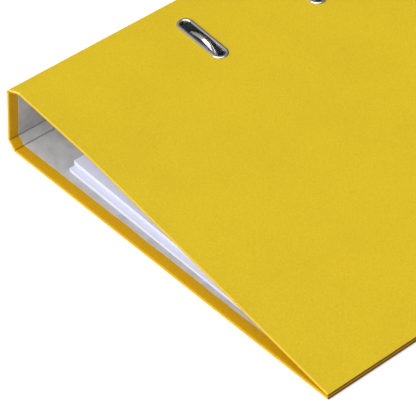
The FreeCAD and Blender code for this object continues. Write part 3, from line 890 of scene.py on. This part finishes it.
LOWER_LAYERS = 9
UPPER_LAYERS = 11
LAYER_FILL = 0.86             # a layer's share of its place in the pile; the rest is air
SHEET = (210.0, 297.0)
SHEET_AT = (44.4, 10.5)       # near corner of a sheet that lies straight
SHEET_COLUMNS = 18
SHEET_ROWS = 24
SLIP = (0.45, 0.55, 0.0012)   # how far a layer slips in X and Y, and turns, in radians
BED_Z = 2.12                  # just above the back cover's lining
PLATE_RISE = 1.40             # how far the base plate lifts the papers
PLATE_Y = (100.0, 220.0)
PAPER_DEPTH = 5.9             # thickness of the loose papers
PRESSED_BY = 1.95             # how much less it is under the compressor bar
FORE_SINK = 0.95              # and how much less towards the fore edge


def hump(value, low, high, soft):
    """1 between low and high, fading to 0 over soft on each side."""
    return smooth(min((value - low) / soft + 1.0, (high - value) / soft + 1.0))


def paper_bed(x, y):
    """Height of the surface under the papers: the lining, and the base plate in the middle."""
    return BED_Z + PLATE_RISE * hump(y, *PLATE_Y, 55.0) * hump(x, 0.0, 64.0, 60.0)


def paper_depth(x, y):
    """Thickness of the papers: pressed by the compressor bar, looser at their ends."""
    pressed = hump(y, *PLATE_Y, 60.0) * hump(x, 0.0, 66.0, 70.0)
    fore = hump(x, 150.0, 300.0, 110.0)
    return PAPER_DEPTH - PRESSED_BY * pressed - FORE_SINK * fore * (1 - pressed)


def sheet_mesh(x0, y0, turn, low, high):
    """One loose layer: a thin closed sheet that follows the bed, between two shares of the depth."""
    centre = Vector((x0 + SHEET[0] / 2, y0 + SHEET[1] / 2))
    points = []
    for share in (low, high):
        for j in range(SHEET_ROWS + 1):
            for i in range(SHEET_COLUMNS + 1):
                flat = Vector((SHEET[0] * (i / SHEET_COLUMNS - 0.5), SHEET[1] * (j / SHEET_ROWS - 0.5)))
                x, y = centre + rotate(flat, turn)
                points.append((x, y, paper_bed(x, y) + paper_depth(x, y) * share))
    across = SHEET_COLUMNS + 1
    layer = across * (SHEET_ROWS + 1)
    faces = []
    for j in range(SHEET_ROWS):
        for i in range(SHEET_COLUMNS):
            a = j * across + i
            faces.append((a, a + across, a + across + 1, a + 1))
            faces.append((layer + a, layer + a + 1, layer + a + across + 1, layer + a + across))
    rim = list(range(across))
    rim += [j * across + SHEET_COLUMNS for j in range(1, SHEET_ROWS + 1)]
    rim += [SHEET_ROWS * across + i for i in range(SHEET_COLUMNS - 1, -1, -1)]
    rim += [j * across for j in range(SHEET_ROWS - 1, 0, -1)]
    for a, b in zip(rim, rim[1:] + rim[:1]):
        faces.append((a, b, layer + b, layer + a))
    return points, faces


def make_bundle(name, first, last, offset, turn, replaced):
    """A pile of layers, each slightly out of line; layers are counted through both bundles."""
    total = LOWER_LAYERS + UPPER_LAYERS
    points = []
    faces = []
    for k in range(first, last):
        slips = [size * noise.noise(Vector((k * 1.7, seed, 0.5))) for seed, size in enumerate(SLIP, 1)]
        x0 = SHEET_AT[0] + offset[0] + slips[0]
        y0 = SHEET_AT[1] + offset[1] + slips[1]
        more, quads = sheet_mesh(x0, y0, turn + slips[2], k / total, (k + LAYER_FILL) / total)
        faces += [tuple(index + len(points) for index in quad) for quad in quads]
        points += more
    papers = add_mesh(name, points, faces, PAPER, sharp=30.0)
    give(papers, "back_cover", "white_paper", replaced)


def make_papers():
    """Two bundles of sheets, turned a little on the posts."""
    total = LOWER_LAYERS + UPPER_LAYERS
    make_bundle("papers_lower", 0, LOWER_LAYERS, (2.8, -0.2), -0.016, "lower_sheets")
    make_bundle("papers_upper", LOWER_LAYERS, total, (3.0, 3.4), -0.022, "upper_sheets")


# ---------------------------------------------------------------- label

LABEL_Y = (130.0, 300.0)
LABEL_HALF = 15.0             # half the pocket's width, up the spine
LABEL_INSET = 2.0             # the label is this much smaller on each side
LABEL_R = 1.5
LABEL_CHAMFER = 0.05          # depth of the bevel round a sheet's outer face
LABEL_TAPER = 0.997           # and the share to which that face is drawn in


def flat_sheet(name, inset, low, high, material):
    """A thin rounded sheet on the outside of the spine, from low to high above its surface."""
    outline = slab_outline(LABEL_Y[0] + inset, LABEL_Y[1] - inset,
                           inset - LABEL_HALF, LABEL_HALF - inset, LABEL_R)
    middle = sum(LABEL_Y) / 2
    rings = []
    for share, out in ((1.0, low), (1.0, high - LABEL_CHAMFER), (LABEL_TAPER, high)):
        rings.append([on_spine(v * share, middle + (u - middle) * share, out) for u, v in outline])
    return add_mesh(name, *loft(rings), material, sharp=8.0)


def make_label():
    label = flat_sheet("label_blank", LABEL_INSET, 0.06, 0.22, LABEL_PAPER)
    give(label, "spine", "label_paper", "spine_label")
    film = flat_sheet("label_window", 0.0, 0.30, 0.48, FILM)
    give(film, "spine", "clear_film", "label_pocket")


# ---------------------------------------------------------------- parts kept from the frame

WELD_M = 1e-6                 # metres within which a CAD part's points are joined before its bevel
BEVEL_ANGLE = 35.0


def dress(name, material, bevel=0.0):
    """Give a CAD part its material, and soften its edges where it has a bevel."""
    part = frame["nodes"][name]
    part.data.materials.clear()
    part.data.materials.append(material)
    if bevel:
        weld = part.modifiers.new("weld", "WELD")
        weld.merge_threshold = WELD_M
        edge = part.modifiers.new("edge", "BEVEL")
        edge.width = bevel * MM
        edge.segments = 2
        edge.limit_method = "ANGLE"
        edge.angle_limit = math.radians(BEVEL_ANGLE)
        edge.harden_normals = True


def dress_mechanism():
    for name in ("arch_wire", "post_1", "post_2"):
        dress(name, NICKEL)
    dress("rivets", RIVET)
    dress("lever", NICKEL, 0.25)
    dress("leaf_spring", SPRING, 0.1)
    for name in ("lever_cam_pin", "lever_axle"):
        dress(name, ZINC)
    for name in ("base_plate", "compressor_bar"):
        dress(name, ZINC, 0.2)


# ---------------------------------------------------------------- camera, light and floor

# The camera, as fitted to the photograph's outline
AZIMUTH = math.radians(50.645)
ELEVATION = math.radians(41.779)
ROLL = math.radians(-1.977)
DISTANCE = 1459.13            # millimetres from the target
TARGET = (123.366, 53.361, 0.0)
LENS = 215.0
SENSOR = 36.0
NEAREST = 0.05                # metres
FARTHEST = 400.0

FLOOR_HALF = 80.0             # half the floor's width, in metres
FLOOR_Z = -0.0002             # metres, just under the back cover
LIGHT_AWAY = 2.0              # metres; a distant light's place has no effect on what it lights
STUDIO_BRIGHT = (-0.20, -0.62, 0.76)  # the studio is brightest in this direction
STUDIO_STRENGTH = 0.53


def make_camera():
    reach = math.cos(ELEVATION)
    back = Vector((math.sin(AZIMUTH) * reach, -math.cos(AZIMUTH) * reach, math.sin(ELEVATION)))
    right = Vector((0.0, 0.0, 1.0)).cross(back).normalized()
    up = back.cross(right)
    tilted_right = right * math.cos(ROLL) + up * math.sin(ROLL)
    tilted_up = up * math.cos(ROLL) - right * math.sin(ROLL)
    camera = bpy.data.objects.new("camera", bpy.data.cameras.new("camera"))
    bpy.context.scene.collection.objects.link(camera)
    turned = Matrix((tilted_right, tilted_up, back)).transposed().to_4x4()
    camera.matrix_world = Matrix.Translation(row(*TARGET) + back * DISTANCE * MM) @ turned
    camera.data.lens = LENS
    camera.data.sensor_width = SENSOR
    camera.data.clip_start = NEAREST
    camera.data.clip_end = FARTHEST
    bpy.context.scene.camera = camera


def soft_light(name, toward, spread, strength, colour):
    """A distant soft light: toward is the direction it comes from, spread its width in degrees."""
    data = bpy.data.lights.new(name, "SUN")
    data.angle = math.radians(spread)
    data.energy = strength
    data.color = colour
    light = bpy.data.objects.new(name, data)
    bpy.context.scene.collection.objects.link(light)
    light.location = Vector(toward) * LIGHT_AWAY
    light.rotation_mode = "QUATERNION"
    light.rotation_quaternion = Vector(toward).to_track_quat("Z", "Y")


def make_light():
    soft_light("key", (0.12, -0.80, 0.59), spread=62.0, strength=2.85, colour=(1.0, 0.99, 0.975))
    soft_light("overhead", (0.05, 0.05, 1.0), spread=44.0, strength=1.14, colour=(0.98, 0.99, 1.0))
    world = bpy.data.worlds.new("studio")
    bpy.context.scene.world = world
    world.use_nodes = True
    tree = world.node_tree
    background = tree.nodes["Background"]
    coordinates = node(tree, "ShaderNodeTexCoord")
    turn = node(tree, "ShaderNodeVectorMath", operation="DOT_PRODUCT")
    turn.inputs[1].default_value = STUDIO_BRIGHT
    tree.links.new(coordinates.outputs["Generated"], turn.inputs[0])
    colours = ramp(tree, scale_range(tree, turn.outputs["Value"], 0.0, 1.0, -1.0, 1.0),
                   [(0.40, (0.12, 0.11, 0.105)), (0.58, (0.40, 0.40, 0.40)), (0.85, (1.0, 1.0, 1.0))])
    tree.links.new(colours, background.inputs["Color"])
    background.inputs["Strength"].default_value = STUDIO_STRENGTH


def make_floor():
    material, tree, shader = new_material("studio_floor")
    cloud = mottle(tree, place(tree), 400.0, 2.0, 0.5)
    tree.links.new(ramp(tree, cloud, [(0.3, (0.93, 0.93, 0.93)), (0.7, (0.95, 0.95, 0.95))]),
                   shader.inputs["Base Color"])
    shader.inputs["Roughness"].default_value = 0.9
    mesh = bpy.data.meshes.new("floor")
    corners = [(FLOOR_HALF * x, FLOOR_HALF * y, FLOOR_Z) for x, y in ((-1, -1), (1, -1), (1, 1), (-1, 1))]
    mesh.from_pydata(corners, [], [(0, 1, 2, 3)])
    mesh.materials.append(material)
    floor = bpy.data.objects.new("floor", mesh)
    bpy.context.scene.collection.objects.link(floor)


make_camera()
make_light()
make_floor()
make_case()
make_rings()
make_papers()
make_label()
dress_mechanism()
bpy.context.scene.view_settings.view_transform = "Standard"
